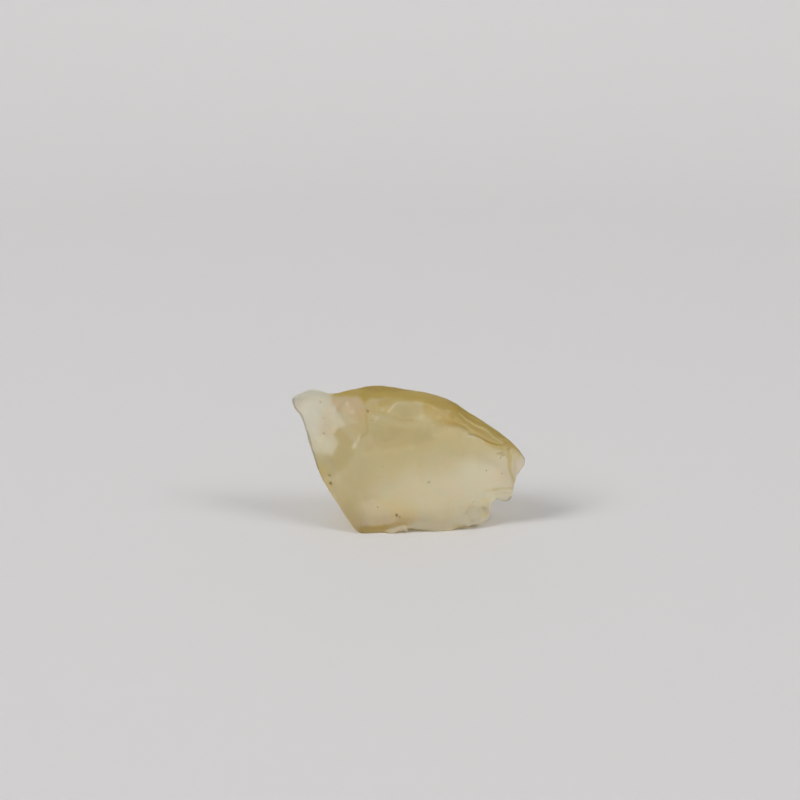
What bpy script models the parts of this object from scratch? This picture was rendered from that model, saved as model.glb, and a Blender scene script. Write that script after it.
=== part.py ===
"""A shard of Libyan desert glass: one solid piece of pale yellow natural glass, 28 mm long.

Run it with: blender --background --python part.py

The shard stands on its worn lower edge and leans back a little. Its blank is the outline of the
shard, drawn in millimetres square to a line of sight 18 degrees above level, and kept only where it
lies inside the hull of the shard's high points. Rounded cutters bite out the flake scars, wind wear
softens the ridges, and the floor cuts the small flats that it rests on. Small round pits come last.
"""

import math

import bmesh
import bpy
from mathutils import Matrix, Vector

MM = 0.001
NAME = "desert_glass"

SIGHT = math.radians(18.0)
BLANK_DEPTH = 24.0
BLANK_MIDDLE = -4.0

# The outline, clockwise from the thin upper left tip: millimetres to the right and up, where up leans
# back with the line of sight.
OUTLINE = [
    (-14.1, 16.4), (-13.0, 17.0), (-11.8, 17.45), (-10.8, 17.4), (-9.6, 16.95), (-8.7, 16.95),
    (-7.5, 17.25), (-6.3, 17.6), (-3.7, 17.95), (-1.1, 17.6), (1.9, 17.15), (4.6, 16.35),
    (5.7, 15.75), (6.7, 15.05), (9.3, 13.4), (11.65, 11.75), (13.6, 9.85), (14.2, 8.8),
    (14.0, 8.1), (13.5, 7.6), (13.1, 7.0), (12.7, 6.0), (12.5, 4.4), (12.0, 3.9),
    (11.4, 3.9), (10.8, 4.2), (10.05, 3.8), (9.8, 3.1), (9.8, 2.4), (9.35, 1.6),
    (8.4, 1.25), (5.8, 0.9), (5.2, 0.5), (3.1, 0.4), (2.1, 0.6), (0.5, 0.75),
    (-0.4, 0.65), (-1.4, 0.3), (-2.7, 0.0), (-5.4, 0.0), (-6.2, 0.35), (-6.85, 1.0),
    (-8.5, 3.5), (-10.45, 6.4), (-11.65, 9.6), (-12.6, 12.7), (-13.15, 14.3), (-13.95, 15.3),
]

# High points of the front, the top and the back: right, up in the outline's plane, and depth behind
# the front foot. Those near the outline stand a little outside it.
FRONT_RIM = [
    (-6.5, -0.5, 0.0), (-3.0, -0.5, 0.0), (5.5, 0.2, 1.2), (9.8, 0.8, 2.0), (12.8, 3.5, 3.2),
    (13.2, 5.5, 4.0), (14.6, 8.7, 5.0), (12.2, 11.9, 5.6), (9.5, 14.0, 6.2), (6.0, 16.0, 6.9),
    (2.0, 17.4, 7.4), (-3.7, 18.4, 7.8), (-9.0, 17.6, 7.4), (-12.0, 17.8, 6.8), (-14.6, 16.5, 6.3),
    (-13.2, 14.2, 5.8), (-12.2, 11.3, 5.0), (-11.4, 7.8, 3.8), (-9.2, 4.0, 2.2), (-7.6, 1.2, 0.8),
]
FRONT = [
    (-5.4, 16.0, 5.2), (-1.0, 16.2, 4.9), (1.8, 15.9, 4.7), (5.5, 14.8, 5.2), (7.5, 13.3, 4.9),
    (9.5, 12.3, 4.7), (11.4, 11.1, 4.6), (4.4, 13.7, 4.0), (7.0, 12.7, 3.9), (9.5, 11.3, 3.8),
    (11.6, 10.3, 4.0), (-4.0, 9.0, 1.5), (3.0, 9.0, 1.5), (8.0, 8.0, 2.0), (-5.0, 4.0, 0.3),
    (3.0, 4.0, 0.7), (9.0, 4.5, 1.9), (12.2, 8.0, 3.3), (-9.0, 10.0, 3.0), (-5.0, 13.0, 3.2),
    (2.0, 13.0, 3.0),
]
BACK = [
    (-6.0, 2.0, 8.0), (3.5, 2.0, 8.0), (8.0, 3.2, 6.8), (-4.0, 9.8, 10.2), (3.0, 9.7, 10.2),
    (8.5, 8.7, 8.6), (-4.0, 15.4, 10.0), (2.0, 14.9, 9.9), (7.0, 12.7, 9.0),
]
BACK_RIM = [
    (-14.6, 16.5, 7.5), (-12.0, 17.8, 8.0), (-9.0, 17.6, 8.8), (-3.7, 18.4, 9.3), (2.0, 17.4, 9.0),
    (6.0, 16.0, 8.6), (9.5, 14.0, 7.9), (12.2, 11.9, 7.2), (14.6, 8.7, 6.5), (13.2, 5.5, 5.9),
    (12.8, 3.5, 5.2), (-13.2, 14.2, 7.3), (-12.2, 11.3, 7.4), (-11.4, 7.8, 7.4), (-9.2, 4.0, 7.2),
    (-7.6, 1.9, 6.5),
]

# Flake scars. Each is a shallow bowl: right and up of its middle, its width, height and depth, then
# the degrees that it faces to the right and up, and that its width rolls clockwise.
FRONT_SCARS = [
    (-11.0, 12.7, 5.8, 8.0, 0.75, -32, 16, 10),
    (-7.3, 15.0, 4.0, 3.8, 0.26, -18, 26, 20),
    (-7.0, 12.0, 3.8, 3.2, 0.20, -14, 22, -20),
    (-2.2, 11.4, 9.4, 5.4, 0.45, -4, 22, 8),
    (-0.3, 14.7, 3.4, 2.7, 0.28, 6, 28, -6),
    (-3.9, 14.5, 3.6, 2.6, 0.22, -8, 32, 15),
    (4.4, 11.4, 8.2, 5.2, 0.45, 10, 24, 24),
    (-2.4, 6.6, 11.0, 8.0, 0.45, -4, 15, -12),
    (5.2, 7.0, 9.6, 9.0, 0.60, 8, 16, 10),
    (9.8, 8.0, 5.2, 6.4, 0.50, 18, 16, 20),
    (13.7, 8.0, 3.4, 7.0, 0.70, 60, 8, -6),
    (-9.6, 5.0, 5.4, 12.0, 0.75, -50, 4, 30),
    (-3.7, 2.2, 6.2, 5.0, 0.35, 6, 4, 8),
    (2.0, 2.6, 8.4, 5.6, 0.40, 0, 6, -14),
    (7.4, 3.6, 7.0, 5.4, 0.45, 14, 2, 20),
    (11.8, 4.3, 4.2, 2.4, 0.90, 18, -12, -6),
    (8.7, 2.7, 3.8, 3.0, 1.00, 16, -14, 24),
    (-11.6, 17.0, 5.6, 2.0, 0.30, -20, 62, 0),
]
BACK_SCARS = [
    (-11.0, 13.6, 7.4, 7.6, 1.00, 200, 6, 10),
    (-4.8, 12.4, 8.6, 8.0, 1.10, 186, 12, -20),
    (2.4, 13.0, 7.4, 6.0, 0.80, 172, 22, 14),
    (8.6, 10.4, 8.2, 6.4, 1.00, 156, 16, 30),
    (-7.6, 6.0, 7.0, 8.0, 0.90, 204, -10, 16),
    (-0.6, 6.8, 8.2, 7.2, 0.80, 182, -8, 24),
    (6.4, 5.4, 7.8, 7.0, 1.00, 164, -8, -12),
    (12.4, 7.2, 4.0, 6.4, 0.70, 150, -6, 8),
    (-1.4, 16.6, 8.6, 3.0, 0.55, 184, 52, 4),
    (7.6, 14.2, 5.6, 2.8, 0.50, 166, 48, 28),
]
# Scars of the underside: right and depth of the middle, width, length, depth, roll.
UNDER_SCARS = [
    (0.4, 4.9, 11.4, 4.4, 1.10, 6),
    (-7.8, 5.8, 7.4, 8.0, 1.60, -30),
    (8.0, 6.6, 8.6, 6.6, 1.80, 20),
]

VOXEL = 0.20
WEAR_STEPS = 2
RIM_BEND = 0.65
RIM_BEND_SIZE = 3.0
SWELL = 0.14
SWELL_SIZE = 2.6
TRIANGLES = 8400
FLOOR = 0.05
BLOCK = 80.0
MERGE = 0.001
OUTLINE_STEPS = 3
BOWL_DETAIL = 4
PIT_DETAIL = 2

# Pits: right and up as seen, diameter, and whether they lie in the front or the back.
FRONT_PITS = [
    (-4.9, 14.7, 0.50), (-9.6, 7.0, 0.55), (-9.5, 6.0, 0.60), (-1.4, 2.3, 0.60), (-10.7, 15.8, 0.40),
    (-10.4, 12.0, 0.40), (2.4, 6.2, 0.45), (11.2, 9.6, 0.60),
]
BACK_PITS = [
    (-8.2, 9.0, 0.9), (-5.6, 14.6, 0.7), (-2.4, 9.4, 1.1), (1.2, 11.6, 0.8), (3.8, 5.6, 1.0),
    (7.2, 9.2, 0.7), (9.6, 6.8, 0.9), (-4.4, 4.4, 0.8), (-11.0, 12.8, 0.6),
]
PIT_SHARE = 0.34

# Degrees that the front and the back face to the right of the front, and up.
FRONT_FACES = (0, 18)
BACK_FACES = (180, 0)

PALE_YELLOW = (0.72, 0.62, 0.38, 1.0)
ROUGHNESS = 0.35
GLASS_IOR = 1.46


def seen(right, up, depth):
    """The world point that shows at (right, up) in the outline's plane, depth behind the front foot."""
    return Vector((right, depth, (up - depth * math.sin(SIGHT)) / math.cos(SIGHT))) * MM


def clear_scene():
    for obj in list(bpy.data.objects):
        bpy.data.objects.remove(obj)


def collection(name):
    found = bpy.data.collections.new(name)
    bpy.context.scene.collection.children.link(found)
    return found


def mesh_object(name, bm, home):
    mesh = bpy.data.meshes.new(name)
    bm.to_mesh(mesh)
    bm.free()
    obj = bpy.data.objects.new(name, mesh)
    home.objects.link(obj)
    return obj


def as_helper(obj):
    obj.hide_render = True
    obj.display_type = "WIRE"
    return obj


def baked(obj, name, home):
    """A mesh object with obj's evaluated shape in world space. It takes obj's place."""
    graph = bpy.context.evaluated_depsgraph_get()
    mesh = bpy.data.meshes.new_from_object(obj.evaluated_get(graph))
    mesh.transform(obj.matrix_world)
    bm = bmesh.new()
    bm.from_mesh(mesh)
    bmesh.ops.remove_doubles(bm, verts=bm.verts, dist=MERGE * MM)
    bm.to_mesh(mesh)
    bm.free()
    bpy.data.objects.remove(obj)
    made = bpy.data.objects.new(name, mesh)
    home.objects.link(made)
    return made


def outline_blank(home):
    """The outline pushed through the shard along the line of sight."""
    curve = bpy.data.curves.new("outline", "CURVE")
    curve.dimensions = "2D"
    curve.fill_mode = "BOTH"
    curve.extrude = BLANK_DEPTH / 2 * MM
    curve.resolution_u = OUTLINE_STEPS
    spline = curve.splines.new("BEZIER")
    spline.bezier_points.add(len(OUTLINE) - 1)
    for point, (right, up) in zip(spline.bezier_points, OUTLINE):
        point.co = Vector((right, up, 0.0)) * MM
        point.handle_left_type = point.handle_right_type = "AUTO"
    spline.use_cyclic_u = True
    obj = bpy.data.objects.new("outline", curve)
    home.objects.link(obj)
    tilt = Matrix.Rotation(math.pi / 2 - SIGHT, 4, "X")
    obj.matrix_world = tilt @ Matrix.Translation((0, 0, BLANK_MIDDLE * MM))
    bpy.context.view_layer.update()
    return baked(obj, NAME, home)


def hull(home):
    """The convex hull of the shard's high points."""
    bm = bmesh.new()
    for right, up, depth in FRONT_RIM + FRONT + BACK + BACK_RIM:
        bm.verts.new(seen(right, up, depth))
    made = bmesh.ops.convex_hull(bm, input=bm.verts)
    bmesh.ops.delete(bm, geom=[g for g in made["geom_interior"] if isinstance(g, bmesh.types.BMVert)])
    bmesh.ops.recalc_face_normals(bm, faces=bm.faces)
    return as_helper(mesh_object("hull", bm, home))


def boolean(obj, other, operation):
    modifier = obj.modifiers.new(other.name, "BOOLEAN")
    modifier.operation = operation
    modifier.object = other
    modifier.solver = "EXACT"


def struck(target, start, towards):
    """Where a straight line from start first meets the target's surface."""
    hit, place, _, _ = target.ray_cast(start, towards)
    if not hit:
        raise ValueError(f"nothing lies at {start / MM}")
    return place


def line_of_sight(target, right, up, from_behind):
    """The point of the target's front, or of its back, that shows at (right, up)."""
    near, far = seen(right, up, -BLANK_DEPTH), seen(right, up, BLANK_DEPTH)
    if from_behind:
        near, far = far, near
    return struck(target, near, (far - near).normalized())


def facing(turn, rise):
    """The direction that faces turn degrees to the right of the front and rise degrees up."""
    turn, rise = math.radians(turn), math.radians(rise)
    return Vector((math.sin(turn) * math.cos(rise), -math.cos(turn) * math.cos(rise), math.sin(rise)))


def bowl(name, place, outward, wide, high, bite, roll, home):
    """A cutter that leaves a bowl of this width, height and depth where it sinks in at place."""
    reach = math.sqrt(wide * high) / 2
    radius = (reach * reach + bite * bite) / (2 * bite)
    turned = outward.to_track_quat("Z", "Y").to_matrix().to_4x4()
    rolled = Matrix.Rotation(math.radians(roll), 4, "Z")
    sides = Vector((wide / 2 / reach, high / 2 / reach, 1.0)) * radius * MM
    centre = place + outward * (radius - bite) * MM
    bm = bmesh.new()
    bmesh.ops.create_icosphere(bm, subdivisions=BOWL_DETAIL, radius=1.0)
    bm.transform(Matrix.Translation(centre) @ turned @ rolled @ Matrix.Diagonal(sides).to_4x4())
    cutter = as_helper(mesh_object(name, bm, home))
    swell(cutter, RIM_BEND, RIM_BEND_SIZE)
    return cutter


def swell(obj, strength, size):
    """Low waves over the surface, as wind and flaking leave them."""
    waves = bpy.data.textures.new("waves", "CLOUDS")
    waves.noise_scale = size * MM
    waves.noise_depth = 1
    modifier = obj.modifiers.new("waves", "DISPLACE")
    modifier.texture = waves
    modifier.texture_coords = "GLOBAL"
    modifier.strength = strength * MM
    modifier.mid_level = 0.5


def cut_scars(shard, high, home):
    for side, scars in (("front", FRONT_SCARS), ("back", BACK_SCARS)):
        for number, (right, up, wide, tall, bite, turn, rise, roll) in enumerate(scars, 1):
            place = line_of_sight(high, right, up, side == "back")
            cutter = bowl(f"{side}_scar_{number}", place, facing(turn, rise), wide, tall, bite, roll, home)
            boolean(shard, cutter, "DIFFERENCE")
    for number, (right, depth, wide, long, bite, roll) in enumerate(UNDER_SCARS, 1):
        place = Vector((right, depth, 0.0)) * MM
        cutter = bowl(f"under_scar_{number}", place, Vector((0, 0, -1)), wide, long, bite, roll, home)
        boolean(shard, cutter, "DIFFERENCE")


def wear(shard):
    remesh = shard.modifiers.new("even faces", "REMESH")
    remesh.mode = "VOXEL"
    remesh.voxel_size = VOXEL * MM
    smooth = shard.modifiers.new("wind wear", "SMOOTH")
    smooth.factor = 0.5
    smooth.iterations = WEAR_STEPS
    swell(shard, SWELL, SWELL_SIZE)


def cut_pits(shard, home):
    for side, pits in (("front", FRONT_PITS), ("back", BACK_PITS)):
        for number, (right, up, wide) in enumerate(pits, 1):
            place = line_of_sight(shard, right, up, side == "back")
            outward = facing(*(FRONT_FACES if side == "front" else BACK_FACES))
            bm = bmesh.new()
            bmesh.ops.create_icosphere(bm, subdivisions=PIT_DETAIL, radius=wide / 2 * MM)
            pit = as_helper(mesh_object(f"{side}_pit_{number}", bm, home))
            pit.matrix_world = Matrix.Translation(place + outward * wide * (0.5 - PIT_SHARE) * MM)
            boolean(shard, pit, "DIFFERENCE")


def floor_cut(shard, home):
    """The flats of the underside: what lies below the floor goes."""
    bm = bmesh.new()
    bmesh.ops.create_cube(bm, size=BLOCK * MM)
    bm.transform(Matrix.Translation((0, 0, (FLOOR - BLOCK / 2) * MM)))
    boolean(shard, as_helper(mesh_object("floor", bm, home)), "DIFFERENCE")


def simplified(shard):
    """Fewer triangles: many on the ridges and few on the broad faces."""
    shard.data.calc_loop_triangles()
    modifier = shard.modifiers.new("fewer faces", "DECIMATE")
    modifier.ratio = TRIANGLES / len(shard.data.loop_triangles)
    modifier.use_collapse_triangulate = True


def stand_at_origin(shard):
    """Moves the mesh so that the middle of its box's underside is the origin, and returns that move."""
    corners = [Vector(corner) for corner in shard.bound_box]
    low = Vector(min(values) for values in zip(*corners))
    high = Vector(max(values) for values in zip(*corners))
    move = -Vector(((low.x + high.x) / 2, (low.y + high.y) / 2, low.z))
    shard.data.transform(Matrix.Translation(move))
    return move


def glass():
    material = bpy.data.materials.new("pale yellow glass")
    material.use_nodes = True
    shader = material.node_tree.nodes["Principled BSDF"]
    shader.inputs["Base Color"].default_value = PALE_YELLOW
    shader.inputs["Roughness"].default_value = ROUGHNESS
    shader.inputs["Metallic"].default_value = 0.0
    shader.inputs["IOR"].default_value = GLASS_IOR
    shader.inputs["Transmission Weight"].default_value = 1.0
    return material


def main():
    clear_scene()
    parts = collection("Libyan desert glass")
    cutters = collection("cutters")
    shard = outline_blank(parts)
    high = hull(cutters)
    bpy.context.view_layer.update()
    boolean(shard, high, "INTERSECT")
    cut_scars(shard, high, cutters)
    wear(shard)
    shard = baked(shard, NAME, parts)
    simplified(shard)
    floor_cut(shard, cutters)
    shard = baked(shard, NAME, parts)
    bpy.context.view_layer.update()
    cut_pits(shard, cutters)
    shard = baked(shard, NAME, parts)
    move = stand_at_origin(shard)
    shard.data.materials.clear()
    shard.data.materials.append(glass())
    shard.data.shade_smooth()
    return move


if __name__ == "__main__":
    main()
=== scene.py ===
import math

import bmesh
import bpy
import numpy as np
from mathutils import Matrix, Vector, noise


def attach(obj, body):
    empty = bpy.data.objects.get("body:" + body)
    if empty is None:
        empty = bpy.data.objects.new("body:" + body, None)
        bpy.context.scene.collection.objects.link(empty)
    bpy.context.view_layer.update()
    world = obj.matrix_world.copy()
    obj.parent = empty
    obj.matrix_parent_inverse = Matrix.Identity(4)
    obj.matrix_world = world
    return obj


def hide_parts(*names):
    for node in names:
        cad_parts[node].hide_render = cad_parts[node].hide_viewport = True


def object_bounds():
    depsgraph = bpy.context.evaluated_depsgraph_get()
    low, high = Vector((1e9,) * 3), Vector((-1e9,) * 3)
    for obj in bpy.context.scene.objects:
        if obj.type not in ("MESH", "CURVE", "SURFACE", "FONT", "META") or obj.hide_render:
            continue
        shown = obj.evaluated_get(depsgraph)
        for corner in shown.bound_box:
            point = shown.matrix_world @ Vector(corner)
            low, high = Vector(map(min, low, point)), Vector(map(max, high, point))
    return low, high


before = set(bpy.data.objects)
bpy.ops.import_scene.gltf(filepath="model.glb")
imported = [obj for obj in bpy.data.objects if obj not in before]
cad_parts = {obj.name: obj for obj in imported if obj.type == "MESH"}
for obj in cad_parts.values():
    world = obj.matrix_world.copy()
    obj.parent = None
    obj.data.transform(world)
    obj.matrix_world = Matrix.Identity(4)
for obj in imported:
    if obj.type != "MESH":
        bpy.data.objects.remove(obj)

CAD_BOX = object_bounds()
MM = 0.001

# The photograph's view. Places on the shard are given as it shows them: millimetres right and up in a
# plane square to the line of sight, measured from the foot of the shard's front edge. The camera aims at
# a point that is so far up and so far behind that foot. Its range is in metres.
SIGHT = math.radians(18.0)
FRONT_FOOT = Vector((-0.003, -5.120, -0.05)) * MM
IMAGE_SIDE = 800
PIXELS_PER_MM = 8.264
FOOT_PIXEL = (409, 533.6)
AIM_UP = 9.0
AIM_DEPTH = 4.5
LENS = 100.0
SENSOR = 36.0
AXIS_ELEVATION = math.radians(16.5)
VIEW_RANGE = (0.01, 10.0)

# The glass: refraction, the share of its light that passes through, and the light lost per millimetre in
# red, green and blue. The absorption's density is the strongest loss times the last factor, which keeps
# the absorption's colour off black.
GLASS_IOR = 1.46
TRANSMISSION = 0.72
ABSORBED_PER_MM = (0.001, 0.013, 0.070)
DENSITY_MARGIN = 1.02

# Roughness of the front, whose flakes still shine, and of the back, which the wind has frosted.
FRONT_ROUGHNESS = 0.32
BACK_ROUGHNESS = 0.85

# The fine mesh, in millimetres: points closer than this are one, the size of the faces, the strength and
# the steps of the smoothing after it, and how far inside the solid's box the relief stays.
MERGED_WITHIN = 0.0005
VOXEL = 0.122
SMOOTH_FACTOR = 0.5
SMOOTH_STEPS = 3
CLEARANCE = 0.002

# Points lower than the limit are on the flats that the shard stands on. They are put this far above the
# floor, because two surfaces in one plane would render as a dark patch.
STANDING_LIMIT = 0.02
STANDING = 0.0005

# How far a face turns towards the photograph's view, as a cosine: where the relief, the stained lines and
# pits, and on the far side the frost, begin and where they are full.
RELIEF_TURN = (0.05, 0.30)
LINES_TURN = (-0.15, 0.10)
FROST_TURN = (0.0, 0.4)

# The relief's lines wander by this much, in waves of this size. Low waves cover the whole shard: their
# size, their height in millimetres, and the shift that makes each pattern its own.
WANDER = 0.10
WANDER_SIZE = 1.1
WANDER_SHIFT = 7.3
WAVES = [(1.6, 0.035, 3.1), (0.6, 0.015, 5.7)]

# Noise of the clouds, the frost's patches and the etched grains: wave size in millimetres, detail and
# roughness.
CLOUD_NOISE = (2.2, 3.0, 0.55)
PATCH_NOISE = (0.9, 4.0, 0.6)
GRAIN_NOISE = (0.22, 3.0, 0.6)

# Faint clouds in the colour, the values of the noise at which each of the two is full, the unevenness of
# the frost, and the etching's depth in millimetres and its strength.
CLOUD_WARM = (1.0, 0.955, 0.87, 1.0)
CLOUD_GREEN = (0.955, 0.975, 0.925, 1.0)
CLOUD_EDGES = (0.35, 0.65)
UNEVEN_FROST = 0.10
ETCHING_DEPTH = 0.02
ETCHING_STRENGTH = 0.35

# Colours of the glass, as its colour for light that goes in and out once. Most are stains; glint is a
# painted highlight, lemon and pale also paint highlights and light, and umber and amber also paint shade,
# umber besides being the dust in pits.
STAINS_AND_PAINTED_LIGHT = {
    "cream": (0.97, 0.96, 0.92),
    "smoke": (0.84, 0.85, 0.82),
    "rose": (0.82, 0.70, 0.54),
    "olive": (0.74, 0.67, 0.44),
    "amber": (0.62, 0.47, 0.10),
    "gold": (0.78, 0.64, 0.30),
    "blush": (1.0, 0.93, 0.84),
    "straw": (0.89, 0.82, 0.58),
    "pale": (1.0, 0.985, 0.95),
    "lemon": (1.0, 0.93, 0.56),
    "honey": (1.0, 0.90, 0.66),
    "umber": (0.30, 0.25, 0.16),
    "glint": (1.0, 0.99, 0.93),
}

# Stained zones, among them painted shade and painted light: the stain, how strong it is, how soft its edge
# is, and its outline.
ZONES = [
    ("olive", 0.70, 3.0, [(-13, 17.5), (2, 17.5), (4, 12), (1, 7), (-4, 5), (-4, -0.5), (-8, -0.5)]),
    ("cream", 0.80, 2.0, [(1, 9), (5, 12.4), (10, 9.4), (12.4, 4), (9, 0.5), (1, 0.5), (-2, 3)]),
    ("straw", 0.85, 1.6, [(-2, 14), (1, 10.4), (4, 10.2), (8, 9.2), (12.0, 9.0), (12, 11), (5, 14), (0, 16)]),
    ("cream", 0.90, 0.25, [(-12.7, 16.3), (-9.4, 16.3), (-8.9, 15.1), (-7.6, 13.1), (-8.5, 12.7),
                           (-9.0, 12.1), (-8.4, 10.9), (-9.2, 9.4), (-11.4, 10.5), (-13.3, 14.8)]),
    ("smoke", 0.85, 0.30, [(-15, 17), (-11, 18), (-9, 17), (-9.4, 16.4), (-12.7, 16.4), (-13.4, 15.2)]),
    ("rose", 0.95, 0.25, [(-9.2, 16.2), (-7.7, 16.6), (-6.5, 16.6), (-5.6, 15.7), (-5.1, 15.0),
                          (-5.2, 13.6), (-6.4, 13.5), (-7.4, 14.1), (-8.6, 15.0)]),
    ("olive", 0.88, 0.30, [(-8.4, 12.8), (-7.1, 11.5), (-6.3, 10.9), (-6.4, 9.7), (-7.4, 8.2), (-8.9, 6.9),
                           (-12.0, 7.0), (-12.0, 9.9), (-9.2, 9.4), (-8.4, 10.9), (-9.0, 12.1)]),
    # Painted shade: the dark amber band along the top, where the long path of light through the glass darkens
    # it.
    ("amber", 0.90, 0.35, [(-9.6, 16.9), (-9.0, 16.4), (-6.4, 16.6), (-5.3, 15.6), (-4.6, 16.2),
                           (-2.3, 16.3), (0.7, 16.1), (1.7, 15.9), (1.8, 15.0), (3.2, 14.7), (3.6, 13.9),
                           (4.7, 13.2), (5.9, 12.9), (7.0, 12.3), (8.0, 11.6), (9.0, 11.0), (10.2, 10.4),
                           (11.6, 10.0), (12.4, 10.2), (13.5, 9.2), (14, 11), (6, 17), (-2, 19), (-9, 18.5)]),
    ("olive", 0.60, 0.40, [(-4.8, 12.4), (-1.0, 12.8), (1.6, 12.6), (1.2, 10.4), (-1.5, 10.2), (-3.6, 10.4)]),
    ("gold", 0.85, 0.60, [(-12.4, 8.6), (-10.2, 8.2), (-9.2, 6.2), (-9.4, 4.6), (-11.5, 5)]),
    ("gold", 0.30, 0.60, [(-9.6, 6.4), (-8.0, 6.0), (-6.4, 3.4), (-5.9, 0.9), (-6.2, -0.6), (-10, 3)]),
    ("blush", 0.85, 0.30, [(-5.6, 0.9), (-5.6, 3.6), (-4.4, 4.3), (-2.0, 3.5), (0.5, 3.0), (2.0, 2.2),
                           (1.4, 1.4), (-1.6, 1.6), (-3.5, 1.0)]),
    ("gold", 0.80, 0.25, [(-6.4, 0.9), (-5.0, 1.0), (-3.2, 1.1), (-1.6, 1.5), (-0.2, 1.4), (-0.2, 1.0),
                          (-2.0, 0.8), (-2.6, -0.6), (-6.6, -0.6)]),
    ("olive", 0.60, 0.30, [(-1.9, 14.9), (-1.2, 15.5), (0.8, 15.6), (1.6, 15.2), (1.2, 14.2), (-0.8, 13.9)]),
    ("olive", 0.42, 1.50, [(-0.8, 10.4), (1.2, 11.6), (5.4, 11.4), (6.8, 9.6), (5.8, 7.6), (1.6, 7.2),
                           (-0.4, 8.4)]),
    ("gold", 0.30, 0.80, [(-6.4, 14.2), (-5.2, 14.9), (-0.4, 14.4), (0.4, 13.4), (-1.0, 12.2), (-6.4, 11.8)]),
    ("honey", 0.55, 0.70, [(-3.6, 4.2), (-0.4, 4.6), (1.0, 3.6), (0.8, 1.6), (-1.4, 1.6), (-2.6, 2.6)]),
    ("gold", 0.60, 0.35, [(-5.2, 15.9), (-1.9, 16.3), (-2.2, 14.7), (-3.4, 14.2), (-4.9, 14.3)]),
    ("gold", 0.85, 0.50, [(1.9, 16.0), (4.6, 14.8), (5.4, 13.2), (3.9, 13.0), (2.6, 13.6), (1.7, 14.6)]),
    ("blush", 0.60, 0.60, [(9.8, 9.3), (11.8, 9.2), (12.2, 6.2), (10.2, 6.2)]),
    ("gold", 0.35, 0.50, [(11.9, 10.4), (13.6, 9.4), (12.9, 8.6), (12.9, 6.4), (12.2, 6.4), (12.0, 8.6)]),
    ("honey", 0.70, 0.60, [(7.6, 5.8), (10.8, 5.6), (10.8, 4.2), (7.6, 4.0)]),
    ("blush", 0.80, 0.30, [(12.3, 9.8), (13.3, 9.4), (14.4, 8.7), (13.4, 7.2), (12.6, 7.4)]),
    ("straw", 0.75, 0.50, [(11.6, 10.4), (13.6, 9.8), (13.6, 8.9), (12.0, 8.9)]),
    # Paler glass low on the right, with painted light where light through the thin lower part brightens it.
    ("pale", 0.90, 1.20, [(4.0, 5.6), (12.8, 6.4), (12.4, 3.6), (9.6, 0.9), (3.0, 0.6), (2.4, 3.6)]),
]

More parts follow.
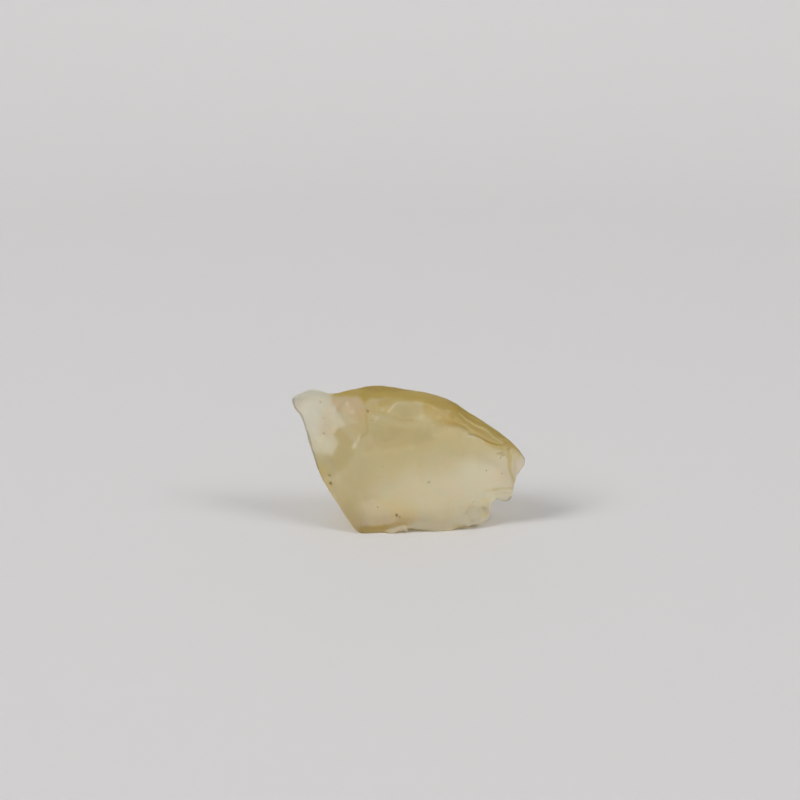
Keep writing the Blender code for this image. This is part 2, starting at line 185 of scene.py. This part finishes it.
# Lines of the front: painted highlights on edges that catch the light, painted shade along dark edges, under
# the lobe and at the foot, and darker or tinted lines: the stain, how strong it is, half its width, and the
# line.
LINES = [
    # Painted highlight along the upper right ridge, then the darker amber band and painted shade below it,
    # and a painted glint on the groove's edge.
    ("lemon", 0.80, 0.16, [(6.0, 14.6), (6.6, 14.1), (7.7, 13.2), (8.6, 12.8), (9.5, 12.3), (10.1, 11.7),
                           (11.3, 11.0)]),
    ("amber", 0.80, 0.40, [(5.6, 15.2), (7.8, 13.6), (9.6, 12.8), (11.4, 11.6)]),
    ("umber", 0.25, 0.20, [(6.0, 15.0), (7.8, 13.6), (9.6, 12.8), (11.4, 11.6)]),
    ("glint", 0.60, 0.16, [(7.2, 11.8), (8.5, 11.5), (9.1, 11.1)]),
    ("olive", 0.90, 0.20, [(10.6, 9.6), (11.8, 9.5)]),
    ("olive", 0.90, 0.20, [(11.6, 10.3), (11.9, 9.2)]),
    ("amber", 0.50, 0.32, [(12.1, 10.2), (12.2, 8.5), (12.4, 7.2), (12.7, 5.9)]),
    ("amber", 0.20, 0.24, [(9.2, 5.1), (10.6, 5.4)]),
    ("amber", 0.35, 0.26, [(10.2, 5.3), (11.4, 5.5), (12.7, 5.5)]),
    # Painted shade under the lobe.
    ("umber", 0.60, 0.18, [(10.6, 4.15), (11.4, 3.95), (12.0, 3.95), (12.45, 4.4)]),
    ("umber", 0.60, 0.20, [(13.3, 7.4), (13.8, 7.9)]),
    # Painted shade along the nose's outline.
    ("umber", 0.50, 0.18, [(13.3, 10.2), (13.9, 9.5), (14.15, 8.8), (14.0, 8.2)]),
    ("umber", 0.15, 0.14, [(6.9, 2.4), (7.3, 3.2), (7.8, 3.8)]),
    # Painted glint on the chip.
    ("glint", 0.90, 0.16, [(6.9, 2.0), (7.3, 2.4)]),
    ("amber", 0.25, 0.30, [(5.3, 0.9), (6.7, 1.05)]),
    # Painted yellow highlight on the chip.
    ("lemon", 0.60, 0.34, [(8.6, 2.1), (9.4, 2.4)]),
    ("lemon", 0.45, 0.34, [(8.6, 4.1), (9.6, 4.1)]),
    ("olive", 0.45, 0.50, [(8.9, 3.0), (9.4, 2.7)]),
    # Painted highlight along the upper rim of the hollow, the amber band above it as painted shade, and
    # painted shade along its lower rim.
    ("lemon", 0.45, 0.22, [(-2.1, 14.8), (-1.5, 15.7), (-0.7, 15.9), (0.8, 15.9), (1.6, 15.7)]),
    ("amber", 0.50, 0.60, [(-3.4, 15.7), (-1.6, 16.2), (0.6, 16.3), (2.6, 16.0)]),
    ("olive", 0.80, 0.30, [(-1.9, 14.0), (-0.9, 13.7), (0.4, 13.7)]),
    ("cream", 0.20, 0.40, [(-4.7, 14.3), (-3.5, 14.0), (-2.4, 13.6), (-1.3, 13.0), (0.5, 13.2)]),
    ("amber", 0.35, 0.24, [(-5.1, 15.0), (-5.1, 12.2), (-5.8, 11.6)]),
    # Painted shade: the dark edge along the left outline.
    ("umber", 0.65, 0.24, [(-14.1, 16.3), (-13.95, 15.3), (-13.15, 14.3), (-12.6, 12.7), (-11.65, 9.6),
                           (-11.0, 7.9)]),
    ("umber", 0.20, 0.20, [(-11.0, 7.9), (-10.45, 6.4), (-9.6, 5.1)]),
    ("gold", 0.40, 0.60, [(-0.8, 1.7), (0.2, 1.4)]),
    # Painted shadow where the foot meets the floor.
    ("amber", 0.40, 0.50, [(-5.6, 0.5), (-4.4, 0.6), (-3.0, 0.8)]),
    ("umber", 0.35, 0.16, [(-6.1, 0.35), (-5.3, 0.10), (-3.0, 0.10)]),
    # Painted light along the bottom edge, and a painted highlight on the lip at the arch.
    ("pale", 0.90, 0.40, [(0.2, 0.9), (1.4, 0.9)]),
    ("pale", 0.80, 0.60, [(2.6, 1.0), (3.6, 0.9)]),
    ("glint", 0.95, 0.34, [(-2.3, 0.40), (-1.5, 0.65), (-0.4, 0.85)]),
]

# Sunk facets: how deep, how wide the slope inside the edge is, and the outline.
FACETS = [
    (0.10, 0.80, [(-14.5, 16.4), (-9.4, 16.3), (-8.9, 15.1), (-7.6, 13.1), (-8.5, 12.7), (-9.0, 12.1),
                  (-8.4, 10.9), (-9.2, 9.4), (-11.4, 10.2), (-13.4, 10.5)]),
    (0.05, 0.60, [(-5.1, 13.3), (-5.1, 12.2), (-5.8, 11.6), (-6.3, 10.9), (-6.4, 9.7), (-7.4, 8.2),
                  (-8.9, 6.9), (-11.5, 7.6), (-11.2, 9.8), (-9.2, 9.2), (-8.3, 10.9), (-8.8, 12.0),
                  (-8.3, 12.6), (-7.4, 13.0), (-6.0, 13.2)]),
    (0.07, 0.45, [(-5.0, 15.9), (-3.0, 16.2), (-1.8, 15.4), (-2.6, 14.5), (-4.7, 14.4)]),
    (0.05, 0.60, [(-5.0, 13.2), (-1.0, 12.9), (1.5, 12.7), (1.3, 10.3), (-1.4, 10.0), (-4.9, 9.8)]),
    (0.10, 0.22, [(6.7, 2.4), (7.5, 3.9), (8.5, 3.7), (8.3, 2.5), (7.4, 2.0)]),
    (0.10, 0.20, [(8.6, 3.7), (9.7, 3.8), (9.8, 2.8), (8.6, 2.5)]),
    (0.10, 0.40, [(-5.6, 0.9), (-5.6, 3.6), (-4.4, 4.3), (-2.0, 3.5), (-1.4, 2.6), (-1.6, 1.6), (-3.5, 0.9)]),
]

# Ridges, and grooves where the height is negative: height, half width, and the line.
RIDGES = [
    (0.12, 0.24, [(5.9, 14.6), (6.6, 14.1), (7.7, 13.2), (8.6, 12.8), (9.5, 12.3), (10.1, 11.7),
                  (11.3, 11.0)]),
    (-0.14, 0.30, [(7.2, 11.9), (8.5, 11.5), (9.4, 11.0), (10.9, 10.7)]),
    (-0.12, 0.28, [(10.6, 9.6), (11.8, 9.5)]),
    (-0.14, 0.34, [(12.1, 10.2), (12.2, 8.5), (12.4, 7.2), (12.7, 5.9)]),
    (-0.10, 0.34, [(10.0, 5.2), (11.2, 5.5), (12.6, 5.5)]),
    (0.075, 0.28, [(-2.0, 15.1), (-1.5, 15.7), (-0.7, 15.9), (0.8, 16.0), (1.8, 15.7)]),
    (0.04, 0.40, [(-4.7, 14.3), (-3.5, 14.0), (-2.4, 13.6), (-1.3, 13.0), (0.5, 13.2)]),
    (-0.06, 0.30, [(6.7, 2.4), (7.2, 3.2), (7.8, 3.8)]),
    (0.30, 0.90, [(7.2, 1.4), (8.6, 1.5), (9.5, 2.0)]),
    (0.42, 0.45, [(-2.6, 0.15), (-1.5, 0.45), (-0.4, 0.70)]),
    (0.18, 0.55, [(-0.4, 0.70), (0.5, 0.75), (2.1, 0.6), (3.1, 0.4), (5.2, 0.5), (5.8, 0.9), (7.2, 1.2)]),
]

# Bowl-shaped scars: right, up, width, height, depth, and degrees that the width rolls clockwise.
BOWLS = [
    (4.7, 9.3, 3.0, 2.6, 0.10, 20),
    (3.5, 12.3, 2.4, 1.6, 0.12, 10),
    (-4.6, 5.8, 3.0, 2.4, 0.08, -20),
]

# Low swellings: right, up, width, height, and rise.
SWELLINGS = [
    (-7.2, 14.8, 4.2, 4.0, 0.20),
    (0.3, 14.8, 4.2, 3.0, 0.12),
]

# Pits: right, up, diameter, and depth.
PITS = [
    (-4.9, 14.7, 0.35, 0.12), (-9.6, 7.0, 0.35, 0.12), (-9.5, 6.0, 0.40, 0.14), (-1.5, 2.3, 0.40, 0.14),
    (-1.1, 2.1, 0.30, 0.12), (-10.7, 15.9, 0.40, 0.06), (-10.4, 12.0, 0.35, 0.06), (2.4, 6.2, 0.35, 0.06),
]

# How strongly the dust in a pit darkens it, for each millimetre of the pit's depth, and the share of the
# pit's depth from which on it is darkest.
PIT_DUST = 6.5
PIT_CORE = 0.6

# A stained line is full up to this share of its half width, and fades from there.
LINE_CORE = 0.3

# The floor, in metres: the radius of its level part, the radius of its upward curve, and the height of its
# wall. It is made in so many steps along the curve and around.
FLOOR_FLAT = 0.19
FLOOR_CURVE = 0.22
FLOOR_WALL = 0.25
CURVE_STEPS = 24
ROUND_STEPS = 96
FLOOR_COLOUR = (0.790, 0.776, 0.766)
FLOOR_ROUGHNESS = 0.7

# The light, in metres and watts: each softbox's name, place and power, their common size, the point that
# they face, and the sky.
SOFTBOXES = [
    ("left_softbox", (-0.60, -0.28, 0.60), 3.8),
    ("right_softbox", (0.60, -0.24, 0.56), 1.95),
]
SOFTBOX_SIZE = (0.32, 0.44)
LIT_POINT = (0, 0, 0.008)
SKY_COLOUR = (0.95, 0.97, 1.0, 1.0)
SKY_STRENGTH = 0.33


def seen(right, up, depth):
    """The world point that shows at (right, up) millimetres, depth behind the front foot."""
    high = (up - depth * math.sin(SIGHT)) / math.cos(SIGHT)
    return FRONT_FOOT + Vector((right, depth, high)) * MM


def fine_shard(node):
    """The solid's form as an even, smooth mesh of many small faces."""
    bm = bmesh.new()
    bm.from_mesh(node.data)
    bmesh.ops.remove_doubles(bm, verts=bm.verts, dist=MERGED_WITHIN * MM)
    mesh = bpy.data.meshes.new("shard")
    bm.to_mesh(mesh)
    bm.free()
    obj = bpy.data.objects.new("shard", mesh)
    bpy.context.scene.collection.objects.link(obj)
    remesh = obj.modifiers.new("even faces", "REMESH")
    remesh.mode = "VOXEL"
    remesh.voxel_size = VOXEL * MM
    smooth = obj.modifiers.new("smooth", "SMOOTH")
    smooth.factor = SMOOTH_FACTOR
    smooth.iterations = SMOOTH_STEPS
    graph = bpy.context.evaluated_depsgraph_get()
    obj.data = bpy.data.meshes.new_from_object(obj.evaluated_get(graph))
    obj.modifiers.clear()
    return obj


def vertex_places(mesh):
    places = np.empty(len(mesh.vertices) * 3)
    mesh.vertices.foreach_get("co", places)
    return places.reshape(-1, 3)


def vertex_normals(mesh):
    normals = np.empty(len(mesh.vertices) * 3)
    mesh.vertex_normals.foreach_get("vector", normals)
    return normals.reshape(-1, 3)


def as_seen(places):
    """Right and up of world points, in millimetres, as the photograph shows them."""
    right, depth, high = ((places - np.array(FRONT_FOOT)) / MM).T
    return right, high * math.cos(SIGHT) + depth * math.sin(SIGHT)


def smooth_step(values, low, high):
    share = np.clip((values - low) / (high - low), 0.0, 1.0)
    return share * share * (3.0 - 2.0 * share)


def ripple(places, size, shift=0.0):
    """Smooth noise between about -1 and 1, with waves of this size in millimetres."""
    moved = places / (size * MM) + shift
    return np.array([noise.noise(place) for place in moved.tolist()]) * 1.6


def line_distance(right, up, line):
    """Distance of each point from a line of straight stretches."""
    nearest = np.full(len(right), np.inf)
    for (x0, y0), (x1, y1) in zip(line, line[1:]):
        dx, dy = x1 - x0, y1 - y0
        along = np.clip(((right - x0) * dx + (up - y0) * dy) / (dx * dx + dy * dy), 0.0, 1.0)
        nearest = np.minimum(nearest, np.hypot(right - x0 - along * dx, up - y0 - along * dy))
    return nearest


def inside_distance(right, up, outline):
    """Distance from a closed outline, positive inside it and negative outside."""
    closed = outline + outline[:1]
    inside = np.zeros(len(right), dtype=bool)
    for (x0, y0), (x1, y1) in zip(closed, closed[1:]):
        if y0 == y1:
            continue
        crosses = (up > min(y0, y1)) & (up <= max(y0, y1))
        inside ^= crosses & (right < x0 + (up - y0) * (x1 - x0) / (y1 - y0))
    return np.where(inside, 1.0, -1.0) * line_distance(right, up, closed)


def bowl_depth(right, up, middle_right, middle_up, wide, high, roll):
    """Share of a bowl's depth at each point: 1 in its middle and 0 from its rim outwards."""
    turn = math.radians(roll)
    across = (right - middle_right) * math.cos(turn) - (up - middle_up) * math.sin(turn)
    along = (right - middle_right) * math.sin(turn) + (up - middle_up) * math.cos(turn)
    out = np.hypot(across / (wide / 2), along / (high / 2))
    return np.clip(1.0 - out * out, 0.0, 1.0)


def front_relief(right, up):
    """Height of the front's facets, ridges, scars and pits, in millimetres."""
    height = np.zeros(len(right))
    for depth, slope, outline in FACETS:
        inside = np.clip(inside_distance(right, up, outline) / slope, 0.0, 1.0)
        height -= depth * inside * (2.0 - inside)
    for rise, half_width, line in RIDGES:
        near = np.clip(1.0 - line_distance(right, up, line) / half_width, 0.0, 1.0)
        height += rise * near * near
    for middle_right, middle_up, wide, high, depth, roll in BOWLS:
        height -= depth * bowl_depth(right, up, middle_right, middle_up, wide, high, roll)
    for middle_right, middle_up, wide, high, rise in SWELLINGS:
        height += rise * bowl_depth(right, up, middle_right, middle_up, wide, high, 0) ** 2
    for middle_right, middle_up, wide, depth in PITS:
        height -= depth * bowl_depth(right, up, middle_right, middle_up, wide, wide, 0)
    return height


def add_relief(obj):
    """Moves the fine mesh's points out and in by the relief, and keeps them in the solid's box."""
    mesh = obj.data
    places = vertex_places(mesh)
    normals = vertex_normals(mesh)
    right, up = as_seen(places)
    right = right + WANDER * ripple(places, WANDER_SIZE)
    up = up + WANDER * ripple(places, WANDER_SIZE, WANDER_SHIFT)
    to_eye = np.array((0.0, -math.cos(SIGHT), math.sin(SIGHT)))
    towards = normals @ to_eye
    height = smooth_step(towards, *RELIEF_TURN) * front_relief(right, up)
    for size, rise, shift in WAVES:
        height += rise * ripple(places, size, shift)
    moved = places + normals * height[:, None] * MM
    low, high = (np.array(corner) for corner in CAD_BOX)
    moved = np.clip(moved, low + CLEARANCE * MM, high - CLEARANCE * MM)
    standing = places[:, 2] < STANDING_LIMIT * MM
    moved[standing] = places[standing]
    moved[standing, 2] = STANDING * MM
    mesh.vertices.foreach_set("co", moved.ravel())
    mesh.update()
    return right, up, towards


def add_stains_and_painted_light(obj, right, up, towards):
    """A colour for each point of the mesh, from the stained zones, lines and pits, painted highlights and
    painted shade among them.
    """
    colours = np.tile(np.array(STAINS_AND_PAINTED_LIGHT["cream"]), (len(right), 1))
    for stain_and_painted_light, strength, soft, outline in ZONES:
        share = strength * smooth_step(inside_distance(right, up, outline), -soft, soft)
        colours += share[:, None] * (np.array(STAINS_AND_PAINTED_LIGHT[stain_and_painted_light]) - colours)
    front = smooth_step(towards, *LINES_TURN)
    for stain_and_painted_light, strength, half_width, line in LINES:
        away = line_distance(right, up, line)
        near = 1.0 - smooth_step(away, LINE_CORE * half_width, half_width)
        colours += (strength * front * near)[:, None] * (np.array(STAINS_AND_PAINTED_LIGHT[stain_and_painted_light]) - colours)
    for middle_right, middle_up, wide, depth in PITS:
        sunk = bowl_depth(right, up, middle_right, middle_up, wide, wide, 0)
        near = smooth_step(sunk, 0.0, PIT_CORE)
        colours += (PIT_DUST * depth * front * near)[:, None] * (np.array(STAINS_AND_PAINTED_LIGHT["umber"]) - colours)
    layer = obj.data.color_attributes.new("stain_and_painted_light", "FLOAT_COLOR", "POINT")
    layer.data.foreach_set("color", np.column_stack([colours, np.ones(len(right))]).ravel())


def add_frost(obj, towards):
    """A roughness for each point of the mesh: the side away from the photograph's view is frosted."""
    back = smooth_step(-towards, *FROST_TURN)
    layer = obj.data.attributes.new("frost", "FLOAT", "POINT")
    layer.data.foreach_set("value", FRONT_ROUGHNESS + (BACK_ROUGHNESS - FRONT_ROUGHNESS) * back)


def noise_node(nodes, size, detail, roughness):
    """Noise whose waves are this many millimetres long."""
    made = nodes.new("ShaderNodeTexNoise")
    made.inputs["Scale"].default_value = 1.0 / (size * MM)
    made.inputs["Detail"].default_value = detail
    made.inputs["Roughness"].default_value = roughness
    return made


def glass_material():
    material = bpy.data.materials.new("yellow desert glass")
    material.use_nodes = True
    nodes = material.node_tree.nodes
    links = material.node_tree.links
    shader = nodes["Principled BSDF"]
    shader.inputs["IOR"].default_value = GLASS_IOR
    shader.inputs["Transmission Weight"].default_value = TRANSMISSION
    place = nodes.new("ShaderNodeTexCoord")

    # Colour: the stains with the painted highlights and painted shade, clouded by faint warmer and greener
    # patches.
    stain_and_painted_light = nodes.new("ShaderNodeVertexColor")
    stain_and_painted_light.layer_name = "stain_and_painted_light"
    clouds = noise_node(nodes, *CLOUD_NOISE)
    ramp = nodes.new("ShaderNodeValToRGB")
    for element, edge, colour in zip(ramp.color_ramp.elements, CLOUD_EDGES, (CLOUD_WARM, CLOUD_GREEN)):
        element.position = edge
        element.color = colour
    blend = nodes.new("ShaderNodeMix")
    blend.data_type = "RGBA"
    blend.blend_type = "MULTIPLY"
    blend.inputs["Factor"].default_value = 1.0
    links.new(place.outputs["Object"], clouds.inputs["Vector"])
    links.new(clouds.outputs["Fac"], ramp.inputs["Fac"])
    links.new(stain_and_painted_light.outputs["Color"], blend.inputs["A"])
    links.new(ramp.outputs["Color"], blend.inputs["B"])
    links.new(blend.outputs["Result"], shader.inputs["Base Color"])

    # Roughness: the frost, uneven from place to place.
    frost = nodes.new("ShaderNodeAttribute")
    frost.attribute_name = "frost"
    patches = noise_node(nodes, *PATCH_NOISE)
    spread = nodes.new("ShaderNodeMapRange")
    spread.inputs["To Min"].default_value = -UNEVEN_FROST
    spread.inputs["To Max"].default_value = UNEVEN_FROST
    total = nodes.new("ShaderNodeMath")
    total.operation = "ADD"
    links.new(place.outputs["Object"], patches.inputs["Vector"])
    links.new(patches.outputs["Fac"], spread.inputs["Value"])
    links.new(frost.outputs["Fac"], total.inputs[0])
    links.new(spread.outputs["Result"], total.inputs[1])
    links.new(total.outputs["Value"], shader.inputs["Roughness"])

    # Bump: the fine etching of wind and sand.
    grains = noise_node(nodes, *GRAIN_NOISE)
    bump = nodes.new("ShaderNodeBump")
    bump.inputs["Strength"].default_value = ETCHING_STRENGTH
    bump.inputs["Distance"].default_value = ETCHING_DEPTH * MM
    links.new(place.outputs["Object"], grains.inputs["Vector"])
    links.new(grains.outputs["Fac"], bump.inputs["Height"])
    links.new(bump.outputs["Normal"], shader.inputs["Normal"])

    # Body: plain absorption.
    volume = nodes.new("ShaderNodeVolumeAbsorption")
    densest = max(ABSORBED_PER_MM) / MM * DENSITY_MARGIN
    volume.inputs["Density"].default_value = densest
    volume.inputs["Color"].default_value = tuple(1 - a / MM / densest for a in ABSORBED_PER_MM) + (1.0,)
    links.new(volume.outputs["Volume"], nodes["Material Output"].inputs["Volume"])
    return material


def plain_material(name, colour, roughness):
    material = bpy.data.materials.new(name)
    material.use_nodes = True
    shader = material.node_tree.nodes["Principled BSDF"]
    shader.inputs["Base Color"].default_value = (*colour, 1.0)
    shader.inputs["Roughness"].default_value = roughness
    return material


def bowl_floor():
    """A level pale floor that curves up all round into a wall, so that no view shows its edge."""
    profile = [(0.0, 0.0), (FLOOR_FLAT, 0.0)]
    for step in range(1, CURVE_STEPS + 1):
        turn = math.pi / 2 * step / CURVE_STEPS
        profile.append((FLOOR_FLAT + FLOOR_CURVE * math.sin(turn), FLOOR_CURVE * (1 - math.cos(turn))))
    profile.append((FLOOR_FLAT + FLOOR_CURVE, FLOOR_WALL))
    bm = bmesh.new()
    points = [bm.verts.new((x, 0.0, z)) for x, z in profile]
    edges = [bm.edges.new(pair) for pair in zip(points, points[1:])]
    bmesh.ops.spin(bm, geom=points + edges, cent=(0, 0, 0), axis=(0, 0, 1), angle=2 * math.pi,
                   steps=ROUND_STEPS, use_merge=True)
    bmesh.ops.remove_doubles(bm, verts=bm.verts, dist=MERGED_WITHIN * MM)
    bmesh.ops.recalc_face_normals(bm, faces=bm.faces)
    mesh = bpy.data.meshes.new("floor")
    bm.to_mesh(mesh)
    bm.free()
    mesh.shade_smooth()
    floor = bpy.data.objects.new("floor", mesh)
    bpy.context.scene.collection.objects.link(floor)
    mesh.materials.append(plain_material("pale floor", FLOOR_COLOUR, FLOOR_ROUGHNESS))


def softbox(name, place, power):
    data = bpy.data.lights.new(name, "AREA")
    data.shape = "RECTANGLE"
    data.size, data.size_y = SOFTBOX_SIZE
    data.energy = power
    lamp = bpy.data.objects.new(name, data)
    bpy.context.scene.collection.objects.link(lamp)
    lamp.location = place
    lamp.rotation_mode = "QUATERNION"
    lamp.rotation_quaternion = (Vector(LIT_POINT) - Vector(place)).to_track_quat("-Z", "Y")


def light():
    for name, place, power in SOFTBOXES:
        softbox(name, place, power)
    world = bpy.data.worlds.new("sky")
    world.use_nodes = True
    world.node_tree.nodes["Background"].inputs["Color"].default_value = SKY_COLOUR
    world.node_tree.nodes["Background"].inputs["Strength"].default_value = SKY_STRENGTH
    bpy.context.scene.world = world


def camera():
    """The photograph's view: its frame's middle, its tilt and its scale at the shard."""
    data = bpy.data.cameras.new("camera")
    data.lens = LENS
    data.sensor_width = SENSOR
    data.clip_start, data.clip_end = VIEW_RANGE
    obj = bpy.data.objects.new("camera", data)
    bpy.context.scene.collection.objects.link(obj)
    back = Vector((0, -math.cos(AXIS_ELEVATION), math.sin(AXIS_ELEVATION)))
    up = Vector((0, math.sin(AXIS_ELEVATION), math.cos(AXIS_ELEVATION)))
    foot_across, foot_down = FOOT_PIXEL
    aim_down = foot_down - AIM_UP * PIXELS_PER_MM
    across = (IMAGE_SIDE / 2 - foot_across) / PIXELS_PER_MM * MM
    above = (aim_down - IMAGE_SIDE / 2) / PIXELS_PER_MM * MM
    aim = seen(0.0, AIM_UP, AIM_DEPTH) + Vector((across, 0, 0)) + up * above
    distance = IMAGE_SIDE / PIXELS_PER_MM * MM / SENSOR * LENS
    obj.location = aim + back * distance
    obj.rotation_mode = "QUATERNION"
    obj.rotation_quaternion = (-back).to_track_quat("-Z", "Y")
    bpy.context.scene.camera = obj


shard = fine_shard(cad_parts["desert_glass"])
right, up, towards = add_relief(shard)
add_stains_and_painted_light(shard, right, up, towards)
add_frost(shard, towards)
shard.data.materials.clear()
shard.data.materials.append(glass_material())
shard.data.shade_smooth()
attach(shard, "root")
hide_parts("desert_glass")

bowl_floor()
light()
camera()
bpy.context.scene.view_settings.view_transform = "Standard"
